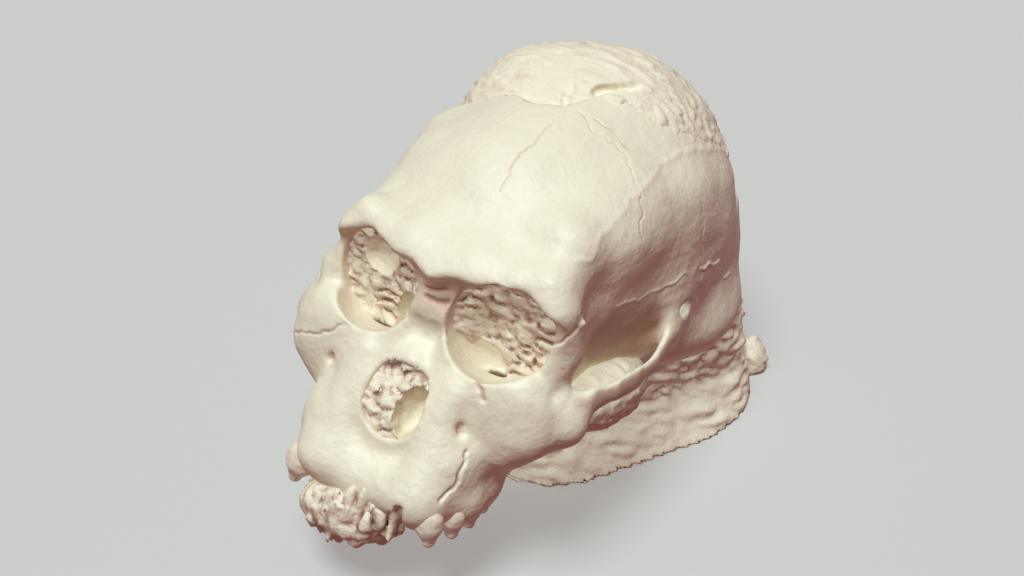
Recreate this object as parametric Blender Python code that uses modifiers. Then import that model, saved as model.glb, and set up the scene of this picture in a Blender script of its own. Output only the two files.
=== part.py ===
"""Fossil hominin skull: a cranium with broken teeth, still filled with and held by its rock matrix.

Everything is worked out in the skull's own frame in millimetres: x to the skull's left, y to its back,
z up, the ear openings at height 0 and level with the lower rims of the eye sockets. At the end the
skull is pitched back, so that it rests on the flat cut under its matrix, and turned into metres.
"""
import math

import bmesh
import bpy
import numpy as np
from mathutils import Matrix, Vector

# Driving dimensions, in millimetres.
BROW_BREADTH = 97.0          # outer width over the brow ridge
DRAWN_BROW_BREADTH = 97.0    # the width at which the shapes below are written
PITCH = math.radians(-15.874)  # the rest tips the face up by this much
BASE_CUT = -50.0             # height of the flat cut, in the pitched frame, below the ear openings
BONE_WALL = 5.0              # thickness of the braincase wall
GAP = 0.45                   # clearance between teeth and bone
FILL_GAP = 0.8               # clearance between the fillings and bone, before facets
ROCK_GAP = 0.7               # clearance drawn between the rock and the bone, before facets
BONE_VOXEL = 3.6             # facet size of the bone while it is shaped
ROCK_VOXEL = 4.4             # facet size of the rock while it is shaped
INNER_VOXEL = 14.0           # facet size of the hidden inner wall
BONE_FACETS = 4400           # triangles kept on the bone
ROCK_FACETS = 2000           # triangles kept on the rock

BONE_COLOUR = (0.80, 0.72, 0.60, 1.0)
ROCK_COLOUR = (0.74, 0.62, 0.52, 1.0)
TOOTH_COLOUR = (0.78, 0.66, 0.52, 1.0)


# Distance fields: negative inside, in millimetres, for many points at once.

def ball(p, centre, radii, turn=0.0):
    """An ellipsoid, turned about the upright axis by degrees."""
    q = p - np.array(centre, np.float32)
    if turn:
        c, s = math.cos(math.radians(turn)), math.sin(math.radians(turn))
        q = np.stack([q[:, 0] * c + q[:, 1] * s, q[:, 1] * c - q[:, 0] * s, q[:, 2]], -1)
    r = np.array(radii, np.float32)
    k = np.sqrt(((q / r) ** 2).sum(-1))
    return k * (k - 1) / (np.sqrt(((q / (r * r)) ** 2).sum(-1)) + 1e-9)


def bar(p, a, b):
    """A round bar between two ends, each (x, y, z, radius)."""
    a, b = np.array(a, np.float32), np.array(b, np.float32)
    ab = b[:3] - a[:3]
    t = np.clip(((p - a[:3]) @ ab) / (ab @ ab), 0, 1)
    return np.linalg.norm(p - a[:3] - t[:, None] * ab, axis=-1) - (a[3] + t * (b[3] - a[3]))


def ridge(p, points, blend=1.5):
    """A bent bar through several (x, y, z, radius) points."""
    d = bar(p, points[0], points[1])
    for a, b in zip(points[1:-1], points[2:]):
        d = join(d, bar(p, a, b), blend)
    return d


def join(a, b, k):
    """Union with a fillet of about k."""
    h = np.clip(0.5 + 0.5 * (b - a) / k, 0, 1)
    return b + (a - b) * h - k * h * (1 - h)


def cut(a, b, k):
    """a without b, with a rounded edge of about k."""
    return -join(-a, b, k)


def both_sides(p):
    """The same points with x folded to the left side, for shapes that come in pairs."""
    q = p.copy()
    q[:, 0] = np.abs(q[:, 0])
    return q


# The shapes of the bone. A pair is written once, for the left side.

BRAINCASE = [((0, 10, 21), (51, 54, 52)),
             ((0, -30, 25), (42, 46, 41)),
             ((0, 36, 10), (45, 35, 36))]
MASTOID = ((36, 14, -2), (19, 30, 15))
FRONTAL_SIDE = ((17, -30, 29), (26, 40, 32))
SOCKET_BACK = ((29.5, -62, 9), (13.5, 15, 22))
FOREHEAD = ((0, -64, 26), (40, 22, 15))
TEMPLE_HOLLOW = ((66, -42, 6), (27, 31, 32))
TEMPLE_LINE = [(40, -68, 29, 6.5), (34.5, -56, 37, 8), (33, -44, 42, 9), (34, -28, 46, 10),
               (36, -8, 47, 11)]
BROW = [(0, -78, 28, 8.5), (12, -79, 32, 8.5), (24, -78.5, 35, 7.5), (34, -75, 32.5, 7),
        (41, -71, 26.5, 6), (43.5, -71, 20, 5)]
SOCKET_SIDE = [(43.5, -71, 22, 4.5), (43.5, -73, 10, 4.5), (43, -76, -3, 7)]
CHEEK = ((44, -76, -10), (11, 9, 12))
ARCH = [(46, -74, -8, 6.5), (53, -60, -4, 4), (56.5, -46, -1, 4), (56.5, -35, 5, 4),
        (53, -22, 9, 4), (50, -8, 8, 5)]
FACE_CORE = ((0, -64, -2), (21, 18, 24))
JAW_SIDE = ((22, -84, -12), (17, 13, 17))
JAW_FRONT = ((0, -86, -22), (25, 18, 22))
TOOTH_RIDGE = [(0, -100, -37, 8.5), (18, -102, -37, 8.5), (25, -92, -38, 8), (25, -82, -38, 7),
               (23, -72, -36, 6)]
CANINE_PILLAR = ((12, -91, -4, 4.5), (19, -105, -36, 7))
CHEEK_ROOT = ((39, -79, -14, 7.5), (28, -82, -32, 6.5))
NOSE_BRIDGE = [(0, -80, 18, 5.5), (0, -87, 6, 5), (0, -90, -1, 4)]
NOSE_SIDE = ((7, -80, 14, 3.5), (11.5, -88, -2, 4.5))
EYE_SOCKET = ((23.2, -79, 16.5), (16.8, 22, 16.8), -12)
NOSE_OPENING = [((0, -100, -14), (12, 20, 11.5)), ((0, -98, -4), (6.5, 18, 7))]
# How far back the bone of the vault reaches, as y over x: it is broken away behind this line.
VAULT_BREAK_X = (-60, -13, -1, 5, 9, 21, 30, 38, 60)
VAULT_BREAK_Y = (-27, -22, -22, -10, 12, 24, 37, 41, 52)
VAULT_BREAK_Z = 34.0


def braincase(p):
    d = ball(p, *BRAINCASE[0])
    for centre, radii in BRAINCASE[1:]:
        d = join(d, ball(p, centre, radii), 14)
    q = both_sides(p)
    d = join(d, ball(q, *FRONTAL_SIDE), 8)
    return join(d, ball(q, *MASTOID), 12)


def eye_socket(p):
    return ball(both_sides(p), *EYE_SOCKET)


def nose_opening(p):
    return join(ball(p, *NOSE_OPENING[0]), ball(p, *NOSE_OPENING[1]), 6)


def face(p):
    q = both_sides(p)
    d = join(ball(q, *FOREHEAD), ridge(q, TEMPLE_LINE, 3), 12)
    d = join(d, ball(q, *SOCKET_BACK), 6)
    d = join(d, ball(q, *FACE_CORE), 6)
    d = cut(d, ball(q, *TEMPLE_HOLLOW), 6)
    d = join(d, ridge(q, BROW, 3), 8)
    d = join(d, ridge(q, SOCKET_SIDE), 4)
    d = join(d, ball(q, *CHEEK), 6)
    d = join(d, ridge(q, ARCH), 4)
    d = join(d, ball(q, *JAW_SIDE), 8)
    d = join(d, ball(q, *JAW_FRONT), 8)
    d = join(d, ridge(q, TOOTH_RIDGE), 7)
    d = join(d, bar(q, *CANINE_PILLAR), 6)
    d = join(d, bar(q, *CHEEK_ROOT), 6)
    d = join(d, ridge(q, NOSE_BRIDGE), 5)
    return join(d, bar(q, *NOSE_SIDE), 4)


def vault_break(p):
    """Negative where the bone of the vault is missing."""
    edge = np.interp(p[:, 0], VAULT_BREAK_X, VAULT_BREAK_Y) - p[:, 1]
    return np.maximum(edge * 0.8, VAULT_BREAK_Z - p[:, 2])


def bone(p):
    d = join(braincase(p), face(p), 10)
    d = cut(d, eye_socket(p), 2)
    d = cut(d, nose_opening(p), 1.5)
    return cut(d, vault_break(p), 1)


# The shapes of the rock.

DOME = [((-2, 16, 26), (49, 48, 56)), ((-24, 2, 40), (27, 26, 33))]
LUMP = ((-3, -107, -50), (20, 11, 11))
PALATE_FILL = ((0, -80, -41), (18.5, 32, 11))
THROAT_FILL = ((0, -58, -30), (24, 22, 24))
BASE_CENTRE = (0.0, 10.0)
# Walls of the base block: direction in degrees from the skull's left towards its back, reach from
# the centre at the cut, and lean outwards per millimetre of height.
BASE_WALLS = [(0, 65, -0.2), (32, 66, -0.3), (62, 64, -0.3), (92, 64, -0.3), (122, 62, -0.3),
              (150, 62, -0.25), (180, 60, -0.15), (208, 60, 0.0), (240, 64, 0.1), (270, 64, 0.1),
              (300, 66, 0.15), (330, 56, 0.1)]
BASE_TOP = -2.0
BELOW_CUT = 9.0              # how far the rock is drawn below the cut before it is cut


def lumps(p, size, height):
    """Rounded diagonal ripples, as the rock broke."""
    x, y, z = p[:, 0] / size, p[:, 1] / size, p[:, 2] / size
    a = np.sin(2.1 * z + 1.3 * y + 0.8 * np.sin(1.7 * x + 0.9 * y))
    b = np.sin(1.6 * x - 1.1 * y + 0.9 * np.sin(1.3 * z + 0.4 * x))
    return height * (0.6 * a + 0.4 * a * b + 0.3 * b)


def pitched(p):
    """Sideways and height coordinates of the pitched frame, in which the base is cut."""
    c, s = math.cos(PITCH), math.sin(PITCH)
    return p[:, 1] * c - p[:, 2] * s, p[:, 1] * s + p[:, 2] * c


def base_block(p):
    across, height = pitched(p)
    x, y = p[:, 0] - BASE_CENTRE[0], across - BASE_CENTRE[1]
    d = p[:, 2] - BASE_TOP
    for angle, reach, lean in BASE_WALLS:
        a = math.radians(angle)
        wall = x * math.cos(a) + y * math.sin(a) - reach - lean * (height - BASE_CUT)
        d = cut(d, -wall / math.hypot(1, lean), 5)
    return d


def rock(p):
    d = join(ball(p, *DOME[0]), ball(p, *DOME[1]), 10)
    d = join(d, base_block(p), 4)
    jaw = join(ball(p, *LUMP), ball(p, *PALATE_FILL), 6)
    d = join(d, join(jaw, ball(p, *THROAT_FILL), 8), 4)
    d = d + lumps(p, 6.0, 1.3)
    return np.maximum(d, BASE_CUT - BELOW_CUT - pitched(p)[1])


def socket_fill(p):
    """Rock in the eye socket, up to a front that lies deeper towards the nose."""
    q = both_sides(p)
    front = -(q[:, 1] + 77) + 0.5 * np.maximum(36 - q[:, 0], 0)
    return np.maximum(eye_socket(p) + FILL_GAP, (front + lumps(p, 4.0, 0.5)) * 0.94)


def nose_fill(p):
    front = -(p[:, 1] + 93) + 0.5 * (p[:, 0] + 6)
    return np.maximum(nose_opening(p) + FILL_GAP, (front + lumps(p, 4.0, 0.4)) * 0.94)


# The hollow of the braincase, which the rock fills.

HOLLOW = [((0, 9, 19), (45.5, 48.5, 46)), ((0, -28, 24), (31, 36, 34))]
SKULL_BASE_HOLE = ((0, 22, -8, 17), (0, 22, -60, 17))


def hollow(p):
    d = join(ball(p, *HOLLOW[0]), ball(p, *HOLLOW[1]), 10)
    return join(d, bar(p, *SKULL_BASE_HOLE), 6)


# Teeth: name, centre and half sizes for the left side.

TEETH = [("front_premolar", (23.5, -107.0, -42.5), (5.4, 4.0, 7.5)),
         ("rear_premolar", (26.0, -98.2, -43.0), (5.2, 3.8, 6.8)),
         ("first_molar", (26.5, -89.5, -43.0), (5.4, 3.9, 6.8)),
         ("second_molar", (25.5, -80.5, -42.5), (5.4, 4.1, 6.5))]


# Making meshes.

def clear_scene():
    for ob in list(bpy.data.objects):
        bpy.data.objects.remove(ob, do_unlink=True)
    for collection in list(bpy.data.collections):
        bpy.data.collections.remove(collection)


def new_collection(name):
    collection = bpy.data.collections.new(name)
    bpy.context.scene.collection.children.link(collection)
    return collection


def new_object(name, bm, collection):
    mesh = bpy.data.meshes.new(name)
    bm.to_mesh(mesh)
    bm.free()
    ob = bpy.data.objects.new(name, mesh)
    collection.objects.link(ob)
    return ob


def add_ball(bm, centre, radii, turn=0.0, mirror=True, detail=3):
    """An ellipsoid, and its mirror image when it is off the middle plane."""
    sides = (1, -1) if mirror and abs(centre[0]) > 0.01 else (1,)
    for side in sides:
        place = Matrix.Translation((side * centre[0], centre[1], centre[2]))
        place = place @ Matrix.Rotation(math.radians(side * turn), 4, "Z")
        place = place @ Matrix.Diagonal((*radii, 1.0))
        bmesh.ops.create_icosphere(bm, subdivisions=detail, radius=1.0, matrix=place)


def add_ridge(bm, points, mirror=True):
    """A row of close balls along a bent bar, for the remesh to melt together."""
    for a, b in zip(points[:-1], points[1:]):
        a, b = Vector(a), Vector(b)
        steps = max(1, int((b - a).to_3d().length / 3.0))
        for k in range(steps + 1):
            x, y, z, r = a.lerp(b, k / steps)
            add_ball(bm, (x, y, z), (r, r, r), mirror=mirror, detail=2)


def apply_modifiers(ob):
    """The object's mesh as its modifiers leave it, with none left."""
    graph = bpy.context.evaluated_depsgraph_get()
    mesh = bpy.data.meshes.new_from_object(ob.evaluated_get(graph))
    old = ob.data
    ob.modifiers.clear()
    ob.data = mesh
    bpy.data.meshes.remove(old)


def thin_out(ob, facets, field):
    """Fewer triangles where the surface is calm; the corners go back onto the field."""
    count = sum(len(f.vertices) - 2 for f in ob.data.polygons)
    mod = ob.modifiers.new("thin", "DECIMATE")
    mod.ratio = min(1.0, facets / count)
    apply_modifiers(ob)
    settle(ob, field, rounds=3)
    triangulate(ob)


def triangulate(ob):
    ob.modifiers.new("triangles", "TRIANGULATE")
    apply_modifiers(ob)


def remesh(ob, voxel):
    mod = ob.modifiers.new("melt", "REMESH")
    mod.mode = "VOXEL"
    mod.voxel_size = voxel
    apply_modifiers(ob)


def boolean(ob, other, operation):
    """An exact boolean, or the manifold one where the exact one loses the body."""
    before = ob.data.copy()
    for solver in ("EXACT", "MANIFOLD"):
        mod = ob.modifiers.new(operation.lower(), "BOOLEAN")
        mod.operation = operation
        mod.solver = solver
        mod.object = other
        apply_modifiers(ob)
        if len(ob.data.polygons) > 0.5 * len(before.polygons):
            return
        ob.data = before.copy()


def points_of(mesh):
    co = np.empty(len(mesh.vertices) * 3, np.float32)
    mesh.vertices.foreach_get("co", co)
    return co.reshape(-1, 3)


def settle(ob, field, rounds=12):
    """Moves the vertices along their normals onto the field's surface, evening them out between."""
    mesh = ob.data
    edges = np.empty(len(mesh.edges) * 2, np.int64)
    mesh.edges.foreach_get("vertices", edges)
    edges = edges.reshape(-1, 2)
    normals = np.empty(len(mesh.vertices) * 3, np.float32)
    p = points_of(mesh)
    count = np.bincount(edges.ravel(), minlength=len(p)).astype(np.float32)[:, None]
    for k in range(rounds):
        mesh.vertex_normals.foreach_get("vector", normals)
        n = normals.reshape(-1, 3)
        if k < rounds - 4:
            mean = np.zeros_like(p)
            np.add.at(mean, edges[:, 0], p[edges[:, 1]])
            np.add.at(mean, edges[:, 1], p[edges[:, 0]])
            drift = mean / count - p
            p = p + 0.5 * (drift - (drift * n).sum(-1, keepdims=True) * n)
        step = np.clip(field(p), -1.5, 1.5)
        p = p - 0.8 * step[:, None] * n
        mesh.vertices.foreach_set("co", p.ravel())
        mesh.update()


def melted(name, fill, voxel, collection):
    """Overlapping primitives melted into one closed skin."""
    bm = bmesh.new()
    fill(bm)
    ob = new_object(name, bm, collection)
    remesh(ob, voxel)
    return ob


def melt(name, fill, field, voxel, collection, passes=2):
    """A mesh of the field: melted primitives, settled and melted again."""
    ob = melted(name, fill, voxel, collection)
    for _ in range(passes):
        settle(ob, field)
        remesh(ob, voxel)
    settle(ob, field)
    return ob


def offset_copy(ob, name, distance):
    """The same facets, moved out along their normals, or in if the distance is negative."""
    other = ob.copy()
    other.data = ob.data.copy()
    other.name = name
    bpy.data.collections["cutters"].objects.link(other)
    mod = other.modifiers.new("offset", "DISPLACE")
    mod.mid_level = 0.0
    mod.strength = distance
    apply_modifiers(other)
    return other


def keep_largest(ob):
    """Drops crumbs that a cut left behind."""
    bm = bmesh.new()
    bm.from_mesh(ob.data)
    left, islands = set(bm.verts), []
    while left:
        island, front = set(), [left.pop()]
        while front:
            v = front.pop()
            island.add(v)
            for e in v.link_edges:
                w = e.other_vert(v)
                if w in left:
                    left.discard(w)
                    front.append(w)
        islands.append(island)
    islands.sort(key=len, reverse=True)
    crumbs = [v for island in islands[1:] for v in island]
    bmesh.ops.delete(bm, geom=crumbs, context="VERTS")
    bm.to_mesh(ob.data)
    bm.free()


def fill_braincase(bm):
    for centre, radii in BRAINCASE:
        add_ball(bm, centre, radii, detail=4)
    for shape in (FRONTAL_SIDE, MASTOID, FOREHEAD, SOCKET_BACK, FACE_CORE):
        add_ball(bm, *shape)
    add_ridge(bm, TEMPLE_LINE)


def fill_break(bm):
    """The missing part of the vault, as a block with the broken edge as its front."""
    outline = list(zip(VAULT_BREAK_X, VAULT_BREAK_Y)) + [(60, 90), (-60, 90)]
    low = [bm.verts.new((x, y, VAULT_BREAK_Z)) for x, y in outline]
    face = bm.faces.new(low)
    top = bmesh.ops.extrude_face_region(bm, geom=[face])["geom"]
    bmesh.ops.translate(bm, vec=(0, 0, 60), verts=[v for v in top if isinstance(v, bmesh.types.BMVert)])
    bmesh.ops.recalc_face_normals(bm, faces=bm.faces[:])


def fill_face(bm):
    for shape in (CHEEK, JAW_SIDE, JAW_FRONT):
        add_ball(bm, *shape)
    for points in (BROW, SOCKET_SIDE, ARCH, TOOTH_RIDGE, CANINE_PILLAR, CHEEK_ROOT, NOSE_BRIDGE,
                   NOSE_SIDE):
        add_ridge(bm, points)


def fill_openings(bm):
    add_ball(bm, *EYE_SOCKET[:2], turn=EYE_SOCKET[2])
    for shape in NOSE_OPENING:
        add_ball(bm, *shape)


def fill_rock(bm):
    for shape in DOME:
        add_ball(bm, *shape, mirror=False, detail=4)
    add_ball(bm, *LUMP, mirror=False)
    add_ball(bm, *PALATE_FILL)
    add_ball(bm, *THROAT_FILL)
    add_ball(bm, (0, 8, -36), (56, 54, 34), detail=4)


def fill_hollow(bm):
    for shape in HOLLOW:
        add_ball(bm, *shape)
    add_ridge(bm, SKULL_BASE_HOLE)


def flatten_cut(ob):
    """Cuts the rock's underside dead flat at BASE_CUT of the pitched frame."""
    c, s = math.cos(PITCH), math.sin(PITCH)
    normal = Vector((0.0, s, c))
    bm = bmesh.new()
    bm.from_mesh(ob.data)
    geom = bm.verts[:] + bm.edges[:] + bm.faces[:]
    cut_ring = bmesh.ops.bisect_plane(bm, geom=geom, dist=0.0001, plane_co=normal * BASE_CUT,
                                      plane_no=normal, clear_inner=True)["geom_cut"]
    edges = [e for e in cut_ring if isinstance(e, bmesh.types.BMEdge)]
    bmesh.ops.holes_fill(bm, edges=edges, sides=0)
    bmesh.ops.triangulate(bm, faces=[f for f in bm.faces if len(f.verts) > 4])
    bmesh.ops.recalc_face_normals(bm, faces=bm.faces[:])
    bm.to_mesh(ob.data)
    bm.free()


def material(name, colour, roughness):
    mat = bpy.data.materials.new(name)
    mat.use_nodes = True
    shader = mat.node_tree.nodes["Principled BSDF"]
    shader.inputs["Base Color"].default_value = colour
    shader.inputs["Roughness"].default_value = roughness
    shader.inputs["Metallic"].default_value = 0.0
    mat.diffuse_color = colour
    return mat


def finish_object(ob, name, mat):
    """Names the object, gives it its material and turns it into the rest pose in metres."""
    ob.name = ob.data.name = name
    ob.data.materials.clear()
    ob.data.materials.append(mat)
    scale = 0.001 * BROW_BREADTH / DRAWN_BROW_BREADTH
    rest = Matrix.Translation((0, 0, -BASE_CUT * scale)) @ Matrix.Scale(scale, 4)
    ob.data.transform(rest @ Matrix.Rotation(PITCH, 4, "X"))


def build():
    clear_scene()
    main = new_collection("fossil hominin skull")
    cutters = new_collection("cutters")
    cutters.hide_render = True

    # Bone: the braincase with the face, less the sockets, the nose and the broken vault.
    fine = BONE_VOXEL * 0.6
    cranium = melted("cranium", fill_braincase, fine, main)
    boolean(cranium, melted("face", fill_face, fine, cutters), "UNION")
    boolean(cranium, melted("openings", fill_openings, fine, cutters), "DIFFERENCE")
    boolean(cranium, melted("vault_break", fill_break, fine, cutters), "DIFFERENCE")
    remesh(cranium, fine)
    for _ in range(2):
        settle(cranium, bone)
        remesh(cranium, BONE_VOXEL)
    settle(cranium, bone)
    thin_out(cranium, BONE_FACETS, bone)
    swollen = offset_copy(cranium, "bone_print", ROCK_GAP)

    # Its hollow, and the same a little smaller for the rock.
    inside = melt("braincase_hollow", fill_hollow, hollow, INNER_VOXEL, cutters, passes=1)
    triangulate(inside)
    core = offset_copy(inside, "rock_core", -ROCK_GAP)
    boolean(cranium, inside, "DIFFERENCE")
    boolean(swollen, core, "DIFFERENCE")
    keep_largest(cranium)
    keep_largest(swollen)

    # Rock.
    matrix = melt("matrix", fill_rock, rock, ROCK_VOXEL, main)
    thin_out(matrix, ROCK_FACETS, rock)
    flatten_cut(matrix)
    boolean(matrix, swollen, "DIFFERENCE")

    bone_mat = material("bone", BONE_COLOUR, 0.62)
    rock_mat = material("rock", ROCK_COLOUR, 0.9)
    tooth_mat = material("tooth", TOOTH_COLOUR, 0.45)

    # Teeth, each in its own socket.
    teeth = []
    rooms = bmesh.new()
    for word, centre, radii in TEETH:
        for side, label in ((1, "left"), (-1, "right")):
            place = (side * centre[0], centre[1], centre[2])
            bm = bmesh.new()
            add_ball(bm, place, radii, mirror=False, detail=2)
            teeth.append(new_object(word + "_" + label, bm, main))
            add_ball(rooms, place, [r + GAP for r in radii], mirror=False, detail=2)
    rooms = new_object("tooth_rooms", rooms, cutters)
    for ob in (cranium, matrix):
        boolean(ob, rooms, "DIFFERENCE")
        keep_largest(ob)

    # Rock in the sockets and the nose.
    fills = []
    for side, label in ((1, "left"), (-1, "right")):
        def shape(bm, side=side):
            centre, radii, turn = EYE_SOCKET
            add_ball(bm, (side * centre[0], centre[1] + 12, centre[2]),
                     (radii[0] * 0.8, 9, radii[2] * 0.8), turn=side * turn, mirror=False)

        def one_side(p, side=side):
            return np.maximum(socket_fill(p), -side * p[:, 0])
        fills.append(melt("socket_matrix_" + label, shape, one_side, ROCK_VOXEL, main, 1))

    def nose_shape(bm):
        for centre, radii in NOSE_OPENING:
            add_ball(bm, (centre[0], centre[1] + 12, centre[2]), (radii[0] * 0.8, 6, radii[2] * 0.8))
    fills.append(melt("nose_matrix", nose_shape, nose_fill, ROCK_VOXEL * 0.9, main, 1))

    finish_object(cranium, "cranium", bone_mat)
    finish_object(matrix, "matrix", rock_mat)
    for ob in fills:
        finish_object(ob, ob.name, rock_mat)
    for ob in teeth:
        finish_object(ob, ob.name, tooth_mat)
    for ob in list(cutters.objects):
        bpy.data.objects.remove(ob, do_unlink=True)
    bpy.data.collections.remove(cutters)


build()
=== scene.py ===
"""Looks of the fossil hominin skull: fine skins of bone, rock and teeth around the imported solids.

The shapes are those of the part's source, with sizes brought closer to the photo. They are in the
skull's own frame in millimetres: x to the skull's left, y to its back, z up, the ear openings at
height 0. Each skin is the zero surface of a distance field, meshed on a fine grid and turned into
the rest pose in metres.
"""
import math

import bmesh
import bpy
import numpy as np
from mathutils import Matrix, Vector


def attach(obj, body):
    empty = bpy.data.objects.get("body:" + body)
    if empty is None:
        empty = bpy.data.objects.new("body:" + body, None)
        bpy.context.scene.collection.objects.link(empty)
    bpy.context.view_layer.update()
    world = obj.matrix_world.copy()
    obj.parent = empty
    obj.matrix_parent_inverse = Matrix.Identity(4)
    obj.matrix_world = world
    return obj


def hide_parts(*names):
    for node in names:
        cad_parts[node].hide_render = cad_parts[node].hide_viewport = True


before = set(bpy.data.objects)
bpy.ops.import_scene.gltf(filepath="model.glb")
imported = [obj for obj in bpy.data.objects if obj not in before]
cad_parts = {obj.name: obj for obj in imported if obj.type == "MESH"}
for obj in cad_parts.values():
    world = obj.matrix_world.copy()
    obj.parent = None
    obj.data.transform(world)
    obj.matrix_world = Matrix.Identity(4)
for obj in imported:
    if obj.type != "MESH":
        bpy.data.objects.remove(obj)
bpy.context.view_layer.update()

# Driving dimensions, in millimetres.
PITCH = math.radians(-15.874)  # the rest tips the face up by this much
BASE_CUT = -50.0             # height of the flat cut in the pitched frame
BONE_GRID = 1.14             # grid of the bone's skin
ROCK_GRID = 1.09             # grid of the rock's skin
FILL_GRID = 0.55             # grid of the rock in the sockets and the nose
TOOTH_GRID = 0.4             # grid of the teeth
BITE = 1.5                   # how deep the rock's skin reaches into the bone's
COARSER = 1.0  # wider grids while trying things
# Boxes that hold the skins, as lowest and highest corner; the sockets' box is for the left side.
BONE_BOX = ((-68, -118, -60), (68, 82, 86))
ROCK_BOX = ((-74, -124, -72), (74, 92, 90))
SOCKET_BOX = ((5, -95, -4), (45, -54, 38))
NOSE_BOX = ((-16, -112, -30), (16, -76, 8))
TOOTH_REACH = (8, 8, 10)
# Room around a skin for its relief, in which the grid is worked out too.
BONE_MARGIN = 1.5
ROCK_MARGIN = 4.0
FILL_MARGIN = 3.0


# Distance fields: negative inside, in millimetres, for many points at once.

def ball(p, centre, radii, turn=0.0):
    """An ellipsoid, turned about the upright axis by degrees."""
    q = p - np.array(centre, np.float32)
    if turn:
        c, s = math.cos(math.radians(turn)), math.sin(math.radians(turn))
        q = np.stack([q[:, 0] * c + q[:, 1] * s, q[:, 1] * c - q[:, 0] * s, q[:, 2]], -1)
    r = np.array(radii, np.float32)
    k = np.sqrt(((q / r) ** 2).sum(-1))
    return k * (k - 1) / (np.sqrt(((q / (r * r)) ** 2).sum(-1)) + 1e-9)


def bar(p, a, b):
    """A round bar between two ends, each (x, y, z, radius)."""
    a, b = np.array(a, np.float32), np.array(b, np.float32)
    ab = b[:3] - a[:3]
    t = np.clip(((p - a[:3]) @ ab) / (ab @ ab), 0, 1)
    return np.linalg.norm(p - a[:3] - t[:, None] * ab, axis=-1) - (a[3] + t * (b[3] - a[3]))


def add_near(d, p, reach, relief):
    """Adds a relief to the field, worked out only near the surface."""
    near = np.abs(d) < reach
    d[near] += relief(p[near])
    return d


def ridge(p, points, blend=1.5):
    """A bent bar through several (x, y, z, radius) points."""
    d = bar(p, points[0], points[1])
    for a, b in zip(points[1:-1], points[2:]):
        d = join(d, bar(p, a, b), blend)
    return d


def join(a, b, k):
    """Union with a fillet of about k."""
    h = np.clip(0.5 + 0.5 * (b - a) / k, 0, 1)
    return b + (a - b) * h - k * h * (1 - h)


def cut(a, b, k):
    """a without b, with a rounded edge of about k."""
    return -join(-a, b, k)


def both_sides(p):
    """The same points with x folded to the left side, for shapes that come in pairs."""
    q = p.copy()
    q[:, 0] = np.abs(q[:, 0])
    return q


# Noise, for relief finer than the shapes.

def noise(p, size, seed=0):
    """Smooth gradient noise, about -1 to 1, with lumps of about the size (a number or x, y, z)."""
    q = p / np.array(size, np.float32)
    cell = np.floor(q).astype(np.int32)
    f = (q - cell).astype(np.float32)
    w = f * f * f * (f * (f * 6 - 15) + 10)
    total = np.zeros(len(p), np.float32)
    for i in range(8):
        corner = np.array([i & 1, i >> 1 & 1, i >> 2 & 1], np.int32)
        c = cell + corner
        h = c[:, 0] * 374761393 + c[:, 1] * 668265263 + c[:, 2] * 974634777 + seed * 362437
        h = (h ^ (h >> 13)) * 1274126177
        h = h ^ (h >> 16)
        g = f - corner
        dot = (((h & 1023) / 511.5 - 1) * g[:, 0] + ((h >> 10 & 1023) / 511.5 - 1) * g[:, 1]
               + ((h >> 20 & 1023) / 511.5 - 1) * g[:, 2])
        total += dot * np.where(corner, w, 1 - w).prod(-1)
    return total * 1.6


def lumpy(p, size, seed=0):
    """Rounded lumps with sharp creases between them, 0 in a crease and about 0.5 on a lump."""
    return np.abs(noise(p, size, seed)) + 0.25 * np.abs(noise(p, np.array(size) * 0.46, seed + 1))


# The shapes of the bone. A pair is written once, for the left side.

BRAINCASE = [((0, 6, 25), (51.5, 58.5, 52.5)), ((0, -32, 20), (47, 47, 48)),
             ((0, 40, 7), (44.5, 34, 36.5))]
MASTOID = ((37, 17, -5), (19, 36, 13.5))
FRONTAL_SIDE = ((16.5, -27.5, 29), (26.5, 40.5, 30))
SOCKET_BACK = ((29.5, -62, 9), (13.5, 15, 22))
FOREHEAD = ((0, -65, 23.5), (40, 26.5, 16.5))
TEMPLE_HOLLOW = ((65, -43, 3), (29.5, 32, 33))
TEMPLE_LINE = [(32.5, -74, 26.5, 6.5), (31, -61.5, 40.5, 10.5), (30, -43.5, 39.5, 14.5),
               (29.5, -29, 43.5, 14), (32, -6.5, 42.5, 15)]
TEMPLE_LINE_RIGHT = [(-39, -65.5, 28, 6.5), (-34, -53.5, 33, 8), (-32.5, -40.5, 40.5, 11),
                     (-37, -27, 43.5, 11), (-37, -8, 48, 12)]
BROW = [(0, -79, 27.5, 9.5), (12.5, -77.5, 30.5, 9), (24.5, -77.5, 32, 5.8), (35, -76, 33.5, 6),
        (38.5, -77.5, 28, 6.3), (42, -72, 15, 5)]
SOCKET_SIDE = [(41, -73.5, 21.5, 4), (39, -73.5, 10.5, 7), (41, -77, -2.5, 4)]
CHEEK = ((44, -74.5, -9), (10, 8, 8.5))
ARCH = [(47, -74, -4, 5), (51.5, -66, -1.5, 4.2), (54.5, -56, -0.6, 3.6), (55.5, -46, 0, 3.4),
        (55.5, -36, 0.8, 3.0), (54.5, -28, 2.6, 2.8), (53, -20, 5.5, 2.8), (50.5, -13, 9.5, 3)]
ARCH_ROOT = ((52, -20, 4.5, 1.2), (44, -24, 2, 3))
ARCH_FLATTER = 2.6           # the arch is a band, this much thinner across than high
FACE_CORE = ((0, -64, -2), (21, 18, 24))
JAW_SIDE = ((21.5, -87, -11), (17.5, 6, 18.5))
JAW_FRONT = ((0, -86, -22), (25, 18, 22))
TOOTH_RIDGE = [(0, -100, -37, 8.5), (18, -102, -37, 8.5), (25, -92, -38, 8), (25, -82, -38, 7),
               (23, -72, -36, 6)]
CANINE_PILLAR = ((17, -91.5, -4.5, 3.5), (16.5, -105.5, -37, 7.5))
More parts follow.
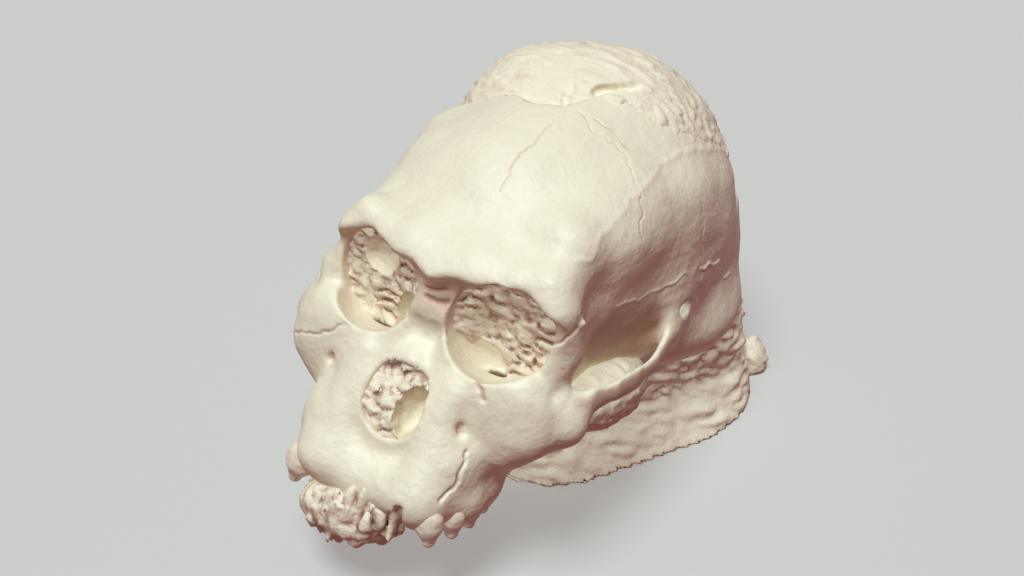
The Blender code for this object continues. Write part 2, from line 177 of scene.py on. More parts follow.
CHEEK_ROOT = ((37.5, -80.5, -13.5, 8), (27, -80.5, -31, 5))
NOSE_BRIDGE = [(0, -80.5, 18, 6), (0, -84, 5, 2.5), (0, -90, -1, 5)]
NOSE_SIDE = ((10.5, -82, 15.5, 5.5), (9.5, -86.5, -2, 5.5))
EAR_NOTCH = ((54, -12, 13), (6, 4.5, 2.6), 20)
EYE_SOCKET = ((23.2, -79, 16.5), (16.8, 22, 16.8), -12)
NOSE_OPENING = [((0, -100, -13), (11, 20, 10.2)), ((0, -98, -6), (8.5, 18, 5))]
NASION_DIP = [(0, -93, 21, 7), (10, -92.5, 23.5, 8), (20, -91.5, 26.5, 6), (30, -87, 27.5, 6),
              (39, -82.5, 23, 5)]
RIGHT_WIDER = 4.6            # how much further out the right cheek and jaw stand
BROW_NARROWER = 2.5          # how much less far out the brow's right end stands
MAXILLA = ((32, -84, -8), (14, 6.5, 15.5))
MOLAR_WALL = ((23, -95, -28), (7, 9, 10))
JAW_LIP = [(-17, -101, -40, 7.5), (-4, -104, -40.5, 8), (8, -103.5, -39, 7.5), (18, -103, -36, 7.5)]
# The jaw's front is broken away below this line, as z over x.
JAW_BREAK_X = (-26, -15, 0, 7, 14, 19)
JAW_BREAK_Z = (-50, -45.5, -45, -44, -40, -35)
# How far back the bone of the vault reaches, as y over x: it is broken away behind this line.
VAULT_BREAK_X = (-60, -39, -28, -8, 2, 7, 12, 18, 25, 31, 36, 40, 60)
VAULT_BREAK_Y = (-26, -24, -21, -29, -28, -12, 3, 7, 14, 18, 23, 33, 52)
VAULT_BREAK_Z = 34.0         # and above this height


def braincase(p):
    d = ball(p, *BRAINCASE[0])
    for centre, radii in BRAINCASE[1:]:
        d = join(d, ball(p, centre, radii), 14)
    q = both_sides(p)
    d = join(d, ball(q, *FRONTAL_SIDE), 8)
    return join(d, ball(q, *MASTOID), 12)


def eye_socket(p):
    return ball(both_sides(p), *EYE_SOCKET)


def nose_opening(p):
    return join(ball(p, *NOSE_OPENING[0]), ball(p, *NOSE_OPENING[1]), 6)


def fade(values, start, end):
    """0 before the start and 1 past the end, smoothly."""
    t = np.clip((values - start) / (end - start), 0, 1)
    return t * t * (3 - 2 * t)


def widened(p):
    """The points as the face's shapes see them: its right side stands further out than its left."""
    q = p.copy()
    shift = RIGHT_WIDER * fade(-p[:, 2], -22, -8) - BROW_NARROWER * fade(p[:, 2], 12, 24)
    q[:, 0] += shift * fade(-p[:, 0], 14, 38) * fade(-p[:, 1], 48, 66)
    return q


def arch(q):
    thin = np.array([ARCH_FLATTER, 1, 1], np.float32)
    points = [(x * ARCH_FLATTER, y, z, r) for x, y, z, r in ARCH]
    return join(ridge(q * thin, points) / ARCH_FLATTER, bar(q, *ARCH_ROOT), 2)


def face(p):
    temple = np.minimum(ridge(p, TEMPLE_LINE, 3), ridge(p, TEMPLE_LINE_RIGHT, 3))
    q = both_sides(widened(p))
    d = join(ball(q, *FOREHEAD), temple, 12)
    d = join(d, ball(q, *SOCKET_BACK), 6)
    d = join(d, ball(q, *FACE_CORE), 6)
    d = cut(d, ball(q, *TEMPLE_HOLLOW), 6)
    d = join(d, ridge(q, BROW, 3), 8)
    d = join(d, ridge(q, SOCKET_SIDE), 4)
    d = join(d, ball(q, *CHEEK), 6)
    d = join(d, arch(q), 4)
    d = join(d, ball(q, *JAW_SIDE), 8)
    d = join(d, ball(q, *MAXILLA), 6)
    d = join(d, ball(q, *JAW_FRONT), 8)
    d = join(d, ridge(q, TOOTH_RIDGE), 7)
    d = join(d, ball(q, *MOLAR_WALL), 6)
    d = join(d, ridge(p, JAW_LIP), 6)
    d = join(d, bar(q, *CANINE_PILLAR), 6)
    d = join(d, bar(q, *CHEEK_ROOT), 6)
    d = join(d, ridge(q, NOSE_BRIDGE), 5)
    d = join(d, bar(q, *NOSE_SIDE), 4)
    return cut(d, ridge(q, NASION_DIP), 2.5)


def vault_break(p):
    """Negative where the bone of the vault is missing."""
    edge = np.interp(p[:, 0], VAULT_BREAK_X, VAULT_BREAK_Y) - p[:, 1]
    edge = edge + 2.2 * noise(p, 5.0, 31)
    return np.maximum(edge * 0.8, VAULT_BREAK_Z + 2.5 * noise(p, 8.0, 32) - p[:, 2])


def jaw_break(p):
    """Negative where the front of the jaw is missing."""
    line = np.interp(p[:, 0], JAW_BREAK_X, JAW_BREAK_Z) + 2.6 * noise(p, 4.5, 33)
    return np.maximum(np.maximum(p[:, 2] - line, p[:, 1] + 97), np.abs(p[:, 0] + 3.5) - 21.5)


def whole_bone(p):
    """The bone before it is opened and broken."""
    return join(braincase(p), face(p), 10)


def bone(p):
    d = cut(whole_bone(p), jaw_break(p), 0.5)
    d = cut(d, eye_socket(p), 0.8)
    d = cut(d, nose_opening(p), 0.5)
    d = cut(d, ball(p, *EAR_NOTCH), 1.0)
    return cut(d, vault_break(p), 0.6)


# Low relief of the bone: height, size and seed of its noises.
BONE_RELIEF = [(0.45, 14.0, 1), (0.16, 5.0, 2)]


def bone_relief(p):
    return sum(height * noise(p, size, seed) for height, size, seed in BONE_RELIEF)


# Marks on the bone: points near its surface, half width, height (negative carves) and waviness.

MARKS = {
    "frontal_crack": ([(5, -38.5, 67), (5, -50, 63), (4.5, -56, 60), (5.5, -65, 53)], 0.32, -0.5, 1.4),
    "coronal_suture": ([(6.5, -27, 69.5), (14, -29, 67.5), (22, -28, 65), (28, -29, 62), (35, -34.5, 57.5),
                        (39, -36, 53.5), (41.5, -41, 48), (44, -42.5, 41.5)], 0.32, -0.4, 1.8),
    "suture_wrinkle": ([(12, -25, 68), (20, -24, 66), (27, -25, 63)], 0.4, -0.25, 2.2),
    "temporal_line": ([(37, -68, 41.5), (37.5, -60, 44.5), (37.5, -51, 48.5), (37, -41, 53), (37.5, -33, 56),
                       (35, -16, 60), (36, -4, 61), (38, 25, 56)], 1.3, 0.3, 1.2),
    "squamosal": ([(42.5, -48, 23), (46.5, -29.5, 23.5), (49, -13, 25.5)], 0.5, 0.3, 1.2),
    "squamosal_back": ([(50.5, -4.5, 25.5), (51.5, 10, 23)], 0.6, 0.5, 1.0),
    "squamosal_end": ([(50, 25, 12), (49.5, 31, 11)], 0.6, 0.5, 1.0),
    "temple_crack": ([(47.5, -6.5, 47.5), (50, -4, 29.5), (49.5, -2, 13.5)], 0.32, -0.35, 1.0),
    "jaw_groove": ([(25.7, -96.2, -19.6), (25.3, -99.5, -28.6), (26.3, -106.4, -32.2)], 0.6, -1.1, 0.8),
    "cheek_crack": ([(-48.1, -84.5, -12.8), (-36.6, -89.3, -5.9), (-27.7, -91.2, 1)], 0.5, -0.6, 1.4),
    "socket_crease": ([(24.3, -91.4, 1.8), (28.1, -92.9, -1.2)], 0.9, -0.8, 1.0),
    "brow_end_crease": ([(40.5, -79.5, 18.5), (45.5, -80, 22.5), (47, -76.5, 24.5)], 0.6, -0.8, 0.6),
    "brow_end_knob": ([(46.5, -73.5, 26)], 1.3, 1.3, 0),
    "nasion_dent": ([(-3, -86, 23), (5, -86.5, 24)], 0.8, -0.9, 1.5),
    "nasion_dent_low": ([(-2, -85.5, 19.5), (6, -85.5, 20.5)], 0.9, -0.9, 1.5),
    "foramen_left": ([(24.6, -97.1, -11.8), (25, -97, -13.2)], 1.4, -2.2, 0),
    "foramen_right": ([(-30.3, -93.4, -10.8), (-30.6, -93.3, -12)], 1.3, -2.0, 0),
}


def mark_line(points, wave):
    """Points close together along a bent line, wavy, and moved onto the bone."""
    line = [np.array(points[-1:], np.float32)]
    for a, b in zip(points[:-1], points[1:]):
        a, b = np.array(a, np.float32), np.array(b, np.float32)
        t = np.arange(0, 1, 0.35 / np.linalg.norm(b - a))[:, None]
        line.append(a + t * (b - a))
    p = np.concatenate(line)
    p = p + wave * np.stack([noise(p, 3.5, seed) for seed in (51, 52, 53)], -1)
    for _ in range(4):
        p, _normals = onto_surface(bone, p, 3.0)
    return p


def distance_to(places, verts, reach):
    """How far each vertex is from the nearest place, 99 beyond the reach."""
    d = np.full(len(verts), 99.0, np.float32)
    inside = (verts > places.min(0) - reach) & (verts < places.max(0) + reach)
    index = np.flatnonzero(inside.all(-1))
    for i in range(0, len(index), 3000):
        part = index[i:i + 3000]
        d[part] = np.linalg.norm(verts[part, None] - places[None], axis=-1).min(-1)
    return d


SPLIT_REACH = 2.2             # the mesh is split finer this near to a mark


def split_near(verts, quads, places, reach):
    """Splits the faces near the places in three each way, so that fine marks can be shaped there."""
    mesh = bpy.data.meshes.new("coarse")
    mesh.from_pydata(verts, [], quads)
    near = distance_to(places, verts, reach) < reach
    work = bmesh.new()
    work.from_mesh(mesh)
    edges = [e for e in work.edges if near[e.verts[0].index] and near[e.verts[1].index]]
    bmesh.ops.subdivide_edges(work, edges=edges, cuts=2, use_grid_fill=True)
    work.verts.index_update()
    verts = np.array([v.co for v in work.verts], np.float32)
    faces = [[v.index for v in f.verts] for f in work.faces]
    work.free()
    bpy.data.meshes.remove(mesh)
    return verts, faces


# The shapes of the rock.

DOME = [((-2.5, 11, 26.5), (50.5, 52, 56)), ((-23.5, 2, 42), (26.5, 27.5, 35))]
# Dark gaps in the dome, behind the edge of the bone.
DOME_GAPS = [((-1, -21, 71, 1.8), (-4, -15, 75.5, 1.5)), ((6, -13, 75, 2.0), (15, -1, 78, 1.7))]
LUMP = [((-5, -104, -51), (16.5, 11.5, 10.5)), ((-12, -105, -54), (11.5, 9.5, 9.5))]
SLAB = ((53, 60, -37), (8, 7, 14))
FOSSA_SMOOTH = 0.6           # share by which the temple floor has the dome's low ripples
FOSSA_FLOOR = ((42, -42, -12), (12, 24, 10.5))
PALATE_FILL = ((0, -80, -41), (18.5, 32, 11))
THROAT_FILL = ((0, -58, -30), (24, 22, 24))
BASE_CENTRE = (0.0, 10.0)
# Walls of the base block: direction in degrees from the skull's left towards its back, reach from
# the centre at the cut, lean outwards per millimetre of height, and how far the foot flares out.
BASE_WALLS = [(0, 65, -0.1, 8), (32, 66, -0.1, 3), (62, 64, -0.2, 0), (92, 64, -0.2, 0),
              (122, 62, -0.2, 0), (150, 62, -0.15, 2), (180, 61, -0.05, 6), (208, 61, 0.0, 8),
              (240, 64, 0.1, 12), (270, 64, 0.1, 15), (300, 66, 0.1, 16), (330, 57, 0.0, 16)]
BASE_TOP = -2.0
REAR_TOP = 0.0               # the block reaches this high around the back of the braincase
FLARE_HEIGHT = 15.0          # the walls flare out below this height over the cut


def pitched(p):
    """Sideways and height coordinates of the pitched frame, in which the base is cut."""
    c, s = math.cos(PITCH), math.sin(PITCH)
    return p[:, 1] * c - p[:, 2] * s, p[:, 1] * s + p[:, 2] * c


def base_block(p):
    across, height = pitched(p)
    height = height - BASE_CUT
    x, y = p[:, 0] - BASE_CENTRE[0], across - BASE_CENTRE[1]
    d = p[:, 2] - BASE_TOP - (REAR_TOP - BASE_TOP) * fade(p[:, 1], -20, 0)
    for angle, reach, lean, flare in BASE_WALLS:
        a = math.radians(angle)
        wall = x * math.cos(a) + y * math.sin(a) - reach - lean * height
        wall = wall + flare * np.minimum(height / FLARE_HEIGHT, 1)
        d = cut(d, -wall / math.hypot(1, lean - flare / FLARE_HEIGHT), 5)
    return d


def rock(p):
    d = join(ball(p, *DOME[0]), ball(p, *DOME[1]), 10)
    for a, b in DOME_GAPS:
        d = cut(d, bar(p, a, b) + 1.2 * noise(p, 3.5, 15), 0.5)
    d = join(d, base_block(p), 4)
    d = join(d, ball(both_sides(p), *FOSSA_FLOOR), 10)
    d = join(d, ball(p, *SLAB), 1)
    jaw = join(join(ball(p, *LUMP[0]), ball(p, *LUMP[1]), 3), ball(p, *PALATE_FILL), 6)
    return join(d, join(jaw, ball(p, *THROAT_FILL), 8), 4)


# Scraped ripples of the rock: size along x, y and z, height and seed.
DOME_RIPPLES = ((11.0, 3.4, 3.6), 1.5, 5)
BLOCK_RIPPLES = ((10.0, 10.0, 4.0), 2.6, 7)
LUMP_RIPPLES = ((4.5, 4.5, 8.0), 3.4, 9)
RIPPLE_LIFT = 0.6            # the creases lie this far behind the plain shape
RIPPLE_REACH = 4.5           # ripples are worked out this near to the surface
CUT_CALM = 0.3               # share of the ripples that is left at the cut


def rock_relief(p):
    """Long ripples across the dome and around the block, short ones on the lump."""
    high = np.clip((p[:, 2] - 30) / 15, 0, 1)
    front = np.clip((-p[:, 1] - 70) / 15, 0, 1)
    high = np.maximum(high, FOSSA_SMOOTH * (ball(both_sides(p), *FOSSA_FLOOR) < 4))
    calm = CUT_CALM + (1 - CUT_CALM) * fade(pitched(p)[1] - BASE_CUT, 0.5, 6)
    d = np.full(len(p), RIPPLE_LIFT, np.float32)
    for share, (size, height, seed) in ((high, DOME_RIPPLES),
                                        ((1 - high) * (1 - front), BLOCK_RIPPLES),
                                        (front, LUMP_RIPPLES)):
        on = share > 0
        d[on] -= (share * calm)[on] * height * lumpy(p[on], size, seed)
    return d


def rock_skin(p):
    d = add_near(rock(p), p, RIPPLE_REACH, rock_relief)
    near = d < ROCK_MARGIN
    d[near] = np.maximum(d[near], -(bone(p[near]) + BITE))
    return np.maximum(d, BASE_CUT - pitched(p)[1])


# The rock in the sockets: place of its front at x 38 and how much deeper it lies per millimetre inwards.
FILL_FRONT_LEFT = -74.0
FILL_FRONT_RIGHT = -76.5
FILL_LEAN = 0.10
# Smooth pockets in the rock, with their half sizes.
POCKET_LEFT = ((16.5, -75, 0.0), (7.5, 12, 8.5))
POCKETS_RIGHT = [((-26.5, -79, 22.5), (7.5, 7.0, 6.5)), ((-10, -80, 5), (7, 12, 12))]
NOSE_HOLLOW = ((7.0, -97, -14.5), (6.0, 9, 9.0))
NOSE_FILL_DEPTH = 1.6        # how far the nose's rock lies behind the rim


def socket_fill(p):
    """Rock in the eye sockets: rough up to near the rim, with smooth pockets left in it."""
    q = both_sides(p)
    front = np.where(p[:, 0] > 0, FILL_FRONT_LEFT, FILL_FRONT_RIGHT) - FILL_LEAN * (38 - q[:, 0]) - q[:, 1]
    front = front - 0.5 * np.maximum(16 - q[:, 0], 0) * fade(p[:, 2], 4, 12)
    front = front - 2.4 * (lumpy(p, (6.0, 6.0, 3.6), 11) - 0.25)
    wavy = 0.8 * noise(p, 4.0, 12)
    for pocket in (POCKET_LEFT, *POCKETS_RIGHT):
        front = np.maximum(front, -(ball(p, *pocket) + wavy))
    return np.maximum(eye_socket(p) - 1.0, front * 0.9)


def nose_fill(p):
    """Rock in the nose, just behind its rim, with a smooth hollow at the skull's left."""
    front = whole_bone(p) + NOSE_FILL_DEPTH - 2.2 * (lumpy(p, (5.0, 5.0, 3.6), 13) - 0.25)
    front = np.maximum(front, -(ball(p, *NOSE_HOLLOW) + 0.8 * noise(p, 4.0, 14)))
    return np.maximum(nose_opening(p) - 1.0, front * 0.9)


# Teeth: name, centre and half sizes for the left side.
TEETH = [("front_premolar", (23.5, -107.0, -42.5), (5.4, 4.0, 7.5)),
         ("rear_premolar", (26.0, -98.2, -43.0), (5.2, 3.8, 6.8)),
         ("first_molar", (26.5, -89.5, -43.0), (5.4, 3.9, 6.8)),
         ("second_molar", (25.5, -80.5, -42.5), (5.4, 4.1, 6.5))]
TOOTH_TIP = 2.2              # radius of the worn point of a tooth
RIGHT_ROW_WIDER = 3.5        # the right row stands further out
RIGHT_ROW_LOWER = 1.5        # and hangs lower


def tooth_middle(side, centre):
    """Where the tooth stands in the left (1) or the right (-1) row."""
    if side > 0:
        return centre
    return -centre[0] - RIGHT_ROW_WIDER, centre[1], centre[2] - RIGHT_ROW_LOWER


def one_tooth(p, side, middle, radii):
    """A crown, narrower and lower at its outer cusp."""
    x, y, z = middle
    d = ball(p, (x, y, z + 1.5), (radii[0], radii[1], radii[2] - 1.5))
    root = (x + side, y, z - 1, radii[1] - 0.3)
    tip = (x + 1.5 * side, y, z - radii[2] + TOOTH_TIP, TOOTH_TIP)
    return join(d, bar(p, root, tip), 1.5) + 0.2 * noise(p, 2.2, 21)


# Meshing.

def band_values(field, low, counts, size, margin, block=4):
    """Field values on a fine grid, worked out only in blocks near the surface."""
    blocks = [-(-n // block) for n in counts]
    centre = [low[k] + size * (np.arange(blocks[k]) * block + block / 2) for k in range(3)]
    mesh = np.stack(np.meshgrid(*centre, indexing="ij"), -1).reshape(-1, 3).astype(np.float32)
    rough = in_chunks(field, mesh).reshape(blocks)
    reach = block * size * 0.87 * 1.35 + margin
    near = np.abs(rough) < reach
    values = np.kron(np.where(rough < 0, -9.0, 9.0).astype(np.float32), np.ones((block,) * 3, np.float32))
    values = np.ascontiguousarray(values[:counts[0], :counts[1], :counts[2]])
    mask = np.kron(near, np.ones((block,) * 3, bool))[:counts[0], :counts[1], :counts[2]]
    index = np.argwhere(mask)
    points = (index * size + np.array(low)).astype(np.float32)
    values[mask] = in_chunks(field, points)
    return values


def in_chunks(field, points, chunk=200000):
    return np.concatenate([field(points[i:i + chunk]) for i in range(0, len(points), chunk)])


def surface_net(values, low, size):
    """Vertices and quads of the zero surface: one vertex in each cell that it crosses."""
    shape = np.array(values.shape)
    cells = shape - 1
    stride = np.array([cells[1] * cells[2], cells[2], 1])
    total = np.zeros((cells.prod(), 3), np.float32)
    count = np.zeros(cells.prod(), np.float32)
    quads = []
    for axis in range(3):
        u, v = (axis + 1) % 3, (axis + 2) % 3
        a = np.take(values, range(shape[axis] - 1), axis)
        b = np.take(values, range(1, shape[axis]), axis)
        crossing = (a < 0) != (b < 0)
        index = np.argwhere(crossing)
        a, b = a[crossing], b[crossing]
        keep = (index[:, u] > 0) & (index[:, v] > 0) & (index[:, u] < cells[u]) & (index[:, v] < cells[v])
        index, a, b = index[keep], a[keep], b[keep]
        point = index.astype(np.float32)
        point[:, axis] += a / (a - b)
        ring = []
        for du, dv in ((0, 0), (-1, 0), (-1, -1), (0, -1)):
            cell = index.copy()
            cell[:, u] += du
            cell[:, v] += dv
            flat = cell @ stride
            ring.append(flat)
            for k in range(3):
                total[:, k] += np.bincount(flat, point[:, k], len(total)).astype(np.float32)
            count += np.bincount(flat, minlength=len(total))
        ring = np.stack(ring, -1)
        quads.append(np.where((a < 0)[:, None], ring, ring[:, ::-1]))
    quads = np.concatenate(quads)
    used = np.flatnonzero(count)
    lookup = np.zeros(len(total), np.int64)
    lookup[used] = np.arange(len(used))
    verts = total[used] / count[used][:, None] * size + np.array(low)
    return verts.astype(np.float32), lookup[quads]


def onto_surface(field, p, size):
    """Moves points onto the zero surface; returns them with the surface's normals."""
    corners = np.array([(1, -1, -1), (-1, -1, 1), (-1, 1, -1), (1, 1, 1)], np.float32)
    step = 0.25 * size
    g = sum(c * in_chunks(field, p + c * step)[:, None] for c in corners) / (4 * step)
    length = np.maximum((g * g).sum(-1), 0.25)
    for _ in range(2):
        move = np.clip(in_chunks(field, p) / length, -0.4 * size, 0.4 * size)
        p = p - move[:, None] * g
    return p, g / np.maximum(np.linalg.norm(g, axis=-1, keepdims=True), 1e-6)


LEAST_ISLAND = 400           # parts of a skin with fewer vertices are left out


def on_big_islands(count, quads):
    """Which vertices belong to a part of the skin that is big enough to keep."""
    label = np.arange(count)
    while True:
        low = label[quads].min(-1)
        new = label.copy()
        for k in range(4):
            np.minimum.at(new, quads[:, k], low)
        new = new[new]
        if (new == label).all():
            break
        label = new
    size = np.bincount(label, minlength=count)
    return size[label] >= LEAST_ISLAND


def skin(name, field, low, high, size, margin=BONE_MARGIN, places=None):
    """A closed mesh object of the field in the skull's frame, with its vertex positions and normals."""
    size = size * COARSER
    counts = [int((high[k] - low[k]) / size) + 2 for k in range(3)]
    values = band_values(field, low, counts, size, margin)
    verts, quads = surface_net(values, low, size)
    keep = on_big_islands(len(verts), quads)
    quads = quads[keep[quads[:, 0]]]
    lookup = np.cumsum(keep) - 1
    verts, quads = verts[keep], lookup[quads]
    if places is not None:
        verts, quads = split_near(verts, quads, places, SPLIT_REACH)
    verts, normals = onto_surface(field, verts, size)
    mesh = bpy.data.meshes.new(name)
    mesh.from_pydata(verts, [], quads)
    mesh.polygons.foreach_set("use_smooth", [True] * len(mesh.polygons))
    ob = bpy.data.objects.new(name, mesh)
    bpy.context.scene.collection.objects.link(ob)
    print(name, len(verts), "points", len(quads), "faces")
    return ob, verts, normals


def store(ob, name, values):
    attribute = ob.data.attributes.new(name, "FLOAT", "POINT")
    attribute.data.foreach_set("value", values.astype(np.float32))


# Painted shade of creases and hollows, felt by how far the surface recedes at two distances above each
# vertex.
SLOPE_STEP = 0.3
LEAST_SLOPE = 0.06
FINE_REACH, FINE_OPEN, FINE_SHADE = 0.9, 0.93, 0.8
NEAR_REACH, NEAR_OPEN, NEAR_SHADE = 2.2, 0.8, 0.5


def add_tone(ob, verts, normals, own, extra=0, share=1.0):
    """Attribute tone: 1 on open surfaces, towards 0 in creases and hollows as painted shade; extra adds the
    caller's painted light and shade.
    """
    rise = in_chunks(own, verts + SLOPE_STEP * normals) - in_chunks(own, verts)
    slope = np.maximum(rise, LEAST_SLOPE) / SLOPE_STEP
    fine = in_chunks(own, verts + FINE_REACH * normals) / (FINE_REACH * slope)
    near = in_chunks(own, verts + NEAR_REACH * normals) / (NEAR_REACH * slope)
    shade = FINE_SHADE * np.clip(FINE_OPEN - fine, 0, 1) + NEAR_SHADE * np.clip(NEAR_OPEN - near, 0, 1)
    store(ob, "tone", np.clip(1 - share * shade + extra, 0, 1))


def rest_matrix():
    up = Matrix.Translation((0, 0, -BASE_CUT * 0.001)) @ Matrix.Scale(0.001, 4)
    return up @ Matrix.Rotation(PITCH, 4, "X")


def place(ob, material, *nodes, slot):
    ob.data.transform(rest_matrix())
    ob.data.materials.append(material)
    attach(ob, "root")
    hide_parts(*nodes)


# Materials.

def new_material(name):
    mat = bpy.data.materials.new(name)
    mat.use_nodes = True
    tree = mat.node_tree
    return mat, tree, tree.nodes["Principled BSDF"]


# Each fossil material: colours of hollows (painted shade), slopes and open surfaces, roughness, grain and
# its depth.
BONE_LOOK = ((0.34, 0.17, 0.12, 1), (0.66, 0.48, 0.37, 1), (0.91, 0.87, 0.70, 1), 0.5, 420, 0.0006)
ROCK_LOOK = ((0.30, 0.16, 0.12, 1), (0.70, 0.54, 0.43, 1), (0.90, 0.84, 0.68, 1), 0.6, 900, 0.0006)
TOOTH_LOOK = ((0.30, 0.16, 0.11, 1), (0.62, 0.44, 0.33, 1), (0.88, 0.80, 0.66, 1), 0.35, 600, 0.0002)
MOTTLE_SCALE = 90
MOTTLE = 0.05                # how far the mottle moves the tone


def fossil_material(name, dark, middle, light, roughness, grain, depth):
    """Colour from the tone attribute, which carries painted light and shade, with a fine mottle and a grainy
    bump.
    """
    mat, tree, shader = new_material(name)
    make = tree.nodes.new
    link = tree.links.new
    place_in = make("ShaderNodeTexCoord")
    tone = make("ShaderNodeAttribute")
    tone.attribute_name = "tone"
    mottle = make("ShaderNodeTexNoise")
    mottle.inputs["Scale"].default_value = MOTTLE_SCALE
    mottle.inputs["Detail"].default_value = 6
    link(place_in.outputs["Object"], mottle.inputs["Vector"])
    spread = make("ShaderNodeMapRange")
    spread.inputs["From Min"].default_value = 0.3
    spread.inputs["From Max"].default_value = 0.7
    spread.inputs["To Min"].default_value = -MOTTLE
    spread.inputs["To Max"].default_value = MOTTLE
    link(mottle.outputs["Fac"], spread.inputs["Value"])
    add = make("ShaderNodeMath")
    add.operation = "ADD"
    link(tone.outputs["Fac"], add.inputs[0])
    link(spread.outputs["Result"], add.inputs[1])
    ramp = make("ShaderNodeValToRGB")
    ramp.color_ramp.elements[0].position = 0.15
    ramp.color_ramp.elements[0].color = dark
    ramp.color_ramp.elements[1].position = 0.92
    ramp.color_ramp.elements[1].color = light
    ramp.color_ramp.elements.new(0.6).color = middle
    link(add.outputs[0], ramp.inputs["Fac"])
    link(ramp.outputs["Color"], shader.inputs["Base Color"])
    fine = make("ShaderNodeTexNoise")
    fine.inputs["Scale"].default_value = grain
    fine.inputs["Detail"].default_value = 5
    link(place_in.outputs["Object"], fine.inputs["Vector"])
    bump = make("ShaderNodeBump")
    bump.inputs["Distance"].default_value = depth
    bump.inputs["Strength"].default_value = 0.6
    link(fine.outputs["Fac"], bump.inputs["Height"])
    link(bump.outputs["Normal"], shader.inputs["Normal"])
    shader.inputs["Roughness"].default_value = roughness
    return mat


def plain_material(name, colour, roughness):
    mat, tree, shader = new_material(name)
    shader.inputs["Base Color"].default_value = colour
    shader.inputs["Roughness"].default_value = roughness
    return mat


# Stage: floor, light and camera.

FLOOR_SIZE = 6.0
FLOOR_COLOUR = (0.62, 0.62, 0.63, 1)
KEY_AZIMUTH, KEY_ELEVATION = 0, 75
KEY_COLOUR = (0.84, 1.0, 0.97)
AROUND_COLOUR = (1.0, 0.19, 0.16, 1)
AROUND_STRENGTH = 0.17
CAMERA_PLACE = (0.23595, -0.37987, 0.40634)
CAMERA_AZIMUTH = math.radians(34.254)
CAMERA_ELEVATION = math.radians(38.943)
CAMERA_LENS = 56.25


def direction(azimuth, elevation):
    """Unit vector towards a viewer at these angles; azimuth 0 is in front of the face."""
    return Vector((math.sin(azimuth) * math.cos(elevation), -math.cos(azimuth) * math.cos(elevation),
                   math.sin(elevation)))


def add_floor():
    mesh = bpy.data.meshes.new("floor")
    h = FLOOR_SIZE / 2
    mesh.from_pydata([(-h, -h, 0), (h, -h, 0), (h, h, 0), (-h, h, 0)], [], [(0, 1, 2, 3)])
    floor = bpy.data.objects.new("floor", mesh)
    bpy.context.scene.collection.objects.link(floor)
    floor.data.materials.append(plain_material("floor", FLOOR_COLOUR, 0.9))
    floor.visible_diffuse = False
    floor.visible_shadow = False


def add_sun(name, strength, softness, shadows=True):
    """A light from above and in front of the face, softened by its width in degrees."""
    light = bpy.data.lights.new(name, "SUN")
    light.angle = math.radians(softness)
    light.energy = strength
    light.color = KEY_COLOUR
    light.use_shadow = shadows
    ob = bpy.data.objects.new(name, light)
    bpy.context.scene.collection.objects.link(ob)
    towards = direction(math.radians(KEY_AZIMUTH), math.radians(KEY_ELEVATION))
    ob.rotation_euler = towards.to_track_quat("Z", "Y").to_euler()


def add_lights():
    """A key from above, in part without shadows, as the photo's, and a weak warm fill all around."""
    add_sun("key", 1.4, 25)
    add_sun("key_flat", 1.7, 10, shadows=False)
    world = bpy.data.worlds.new("studio")
    bpy.context.scene.world = world
    world.use_nodes = True
    background = world.node_tree.nodes["Background"]
    background.inputs["Color"].default_value = AROUND_COLOUR
    background.inputs["Strength"].default_value = AROUND_STRENGTH


def add_camera():
    data = bpy.data.cameras.new("camera")
    data.lens = CAMERA_LENS
    data.sensor_width = 36
    camera = bpy.data.objects.new("camera", data)
    bpy.context.scene.collection.objects.link(camera)
    back = direction(CAMERA_AZIMUTH, CAMERA_ELEVATION)
    turn = back.to_track_quat("Z", "Y").to_matrix().to_4x4()
    camera.matrix_world = Matrix.Translation(CAMERA_PLACE) @ turn
    bpy.context.scene.camera = camera


# Pieces.

# Where the bone behind the arch gets painted shade: centre and half sizes.
TEMPLE_SHADE_ZONE = ((44, -38, 10), (13, 26, 17))
# Painted highlight on raised marks and painted shade in carved marks.
MARK_PAINTED_HIGHLIGHT = 0.2           # how much lighter a raised mark is
MARK_PAINTED_SHADE = 0.4            # how much darker a carved mark is
# Painted shadow on the bone under the brow.
BROW_PAINTED_SHADOW = 0.3           # how much browner the bone is right under the brow
# Painted shade on the outward-facing side of the arch.
ARCH_PAINTED_SHADE = 0.35          # how much browner the outer face of the arch is
TEMPLE_PAINTED_SHADE = 0.5         # how much browner the bone is behind the arch
# Painted shade on the bone inside the sockets and the nose.
HOLLOW_PAINTED_SHADE = 0.3           # how much browner the bone is inside the sockets and the nose
# Painted shade on the rock deep in the sockets.
FILL_PAINTED_SHADE = 0.15          # how much browner the rock in the sockets is


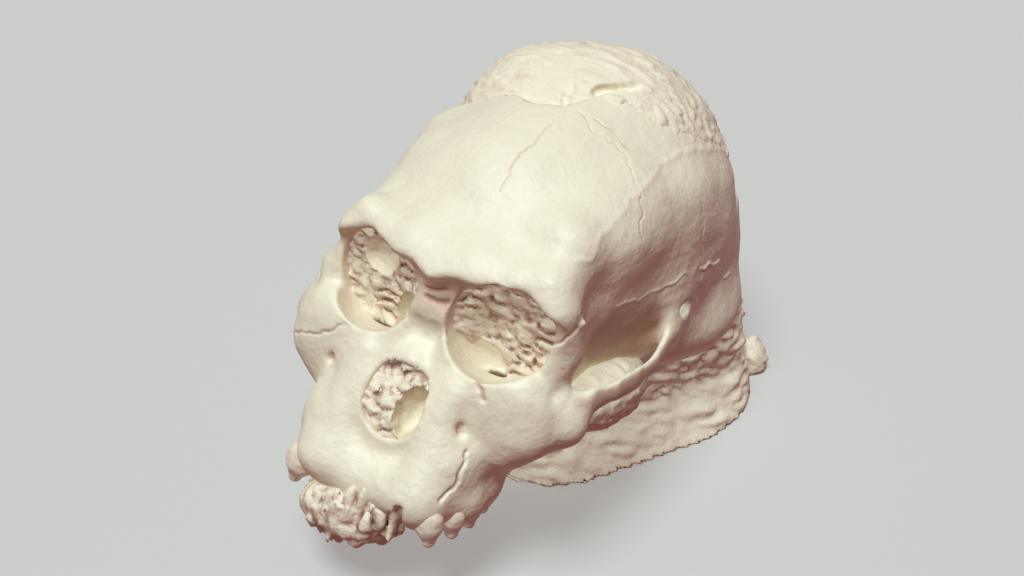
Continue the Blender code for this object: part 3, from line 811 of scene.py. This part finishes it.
def add_bone():
    def field(p):
        return bone(p) + bone_relief(p)
    lines = {name: mark_line(points, wave) for name, (points, _, _, wave) in MARKS.items()}
    ob, verts, normals = skin("bone_skin", field, *BONE_BOX, BONE_GRID,
                              places=np.concatenate(list(lines.values())))
    moved = verts.copy()
    # painted highlights, painted shadow and painted shade added to the bone's tone
    painted_light = np.zeros(len(verts), np.float32)
    for name, (_points, width, height, _wave) in MARKS.items():
        share = np.exp(-(distance_to(lines[name], verts, 5.0) / width) ** 2)
        moved += (share * height)[:, None] * normals
        # raised marks get a painted highlight, carved marks painted shade
        painted_light += share * (MARK_PAINTED_HIGHLIGHT if height > 0 else -MARK_PAINTED_SHADE)
    ob.data.vertices.foreach_set("co", moved.ravel())
    # painted shade on the bone inside the sockets and the nose
    for hollow in (eye_socket, nose_opening):
        painted_light -= HOLLOW_PAINTED_SHADE * fade(-hollow(verts + 1.5 * normals), -0.5, 2.5)
    # painted shade on the temple wall behind the arch
    painted_light -= TEMPLE_PAINTED_SHADE * fade(-ball(both_sides(verts), *TEMPLE_SHADE_ZONE), 0, 8)
    folded = both_sides(widened(verts))
    # painted shadow right under the brow, along the dip
    painted_light -= BROW_PAINTED_SHADOW * fade(-ridge(folded, NASION_DIP), -1.5, 0)
    # painted shade on the arch's outward-facing side, chosen by its normal
    outward = np.sign(verts[:, 0]) * normals[:, 0]
    painted_light -= ARCH_PAINTED_SHADE * fade(-arch(folded), -1.5, 0) * fade(outward, 0.5, 0.9)
    add_tone(ob, verts, normals, field, painted_light)
    mat = fossil_material("bone", *BONE_LOOK)
    place(ob, mat, "cranium", slot="bone")


def add_rock():
    ob, verts, normals = skin("rock_skin", rock_skin, *ROCK_BOX, ROCK_GRID, ROCK_MARGIN)
    # painted shade in the rock's creases, weaker except towards the front of the face
    add_tone(ob, verts, normals, rock_skin, share=0.4 + 0.6 * fade(-verts[:, 1], 70, 90))
    mat = fossil_material("rock", *ROCK_LOOK)
    place(ob, mat, "matrix", slot="rock")
    for side, label in ((1, "left"), (-1, "right")):
        def one_side(p, side=side):
            return np.maximum(socket_fill(p), -side * p[:, 0])
        (near, *low), (far, *high) = SOCKET_BOX
        low = (near if side > 0 else -far, *low)
        high = (far if side > 0 else -near, *high)
        fill, verts, normals = skin("socket_rock_" + label, one_side, low, high, FILL_GRID, FILL_MARGIN)
        # painted shade on the socket rock, on top of the painted shade of its creases
        add_tone(fill, verts, normals, one_side, -FILL_PAINTED_SHADE)
        place(fill, mat, "socket_matrix_" + label, slot="rock")
    fill, verts, normals = skin("nose_rock", nose_fill, *NOSE_BOX, FILL_GRID, FILL_MARGIN)
    add_tone(fill, verts, normals, nose_fill)
    place(fill, mat, "nose_matrix", slot="rock")


def add_teeth():
    mat = fossil_material("tooth", *TOOTH_LOOK)
    for word, centre, radii in TEETH:
        for side, label in ((1, "left"), (-1, "right")):
            middle = tooth_middle(side, centre)

            def field(p, side=side, middle=middle):
                return one_tooth(p, side, middle, radii)
            low = [m - reach for m, reach in zip(middle, TOOTH_REACH)]
            high = [m + reach for m, reach in zip(middle, TOOTH_REACH)]
            ob, verts, normals = skin(f"tooth_{word}_{label}", field, low, high, TOOTH_GRID)
            add_tone(ob, verts, normals, field)
            place(ob, mat, f"{word}_{label}", slot="tooth")


add_camera()
add_bone()
add_rock()
add_teeth()
add_floor()
add_lights()
bpy.context.scene.view_settings.view_transform = "Standard"
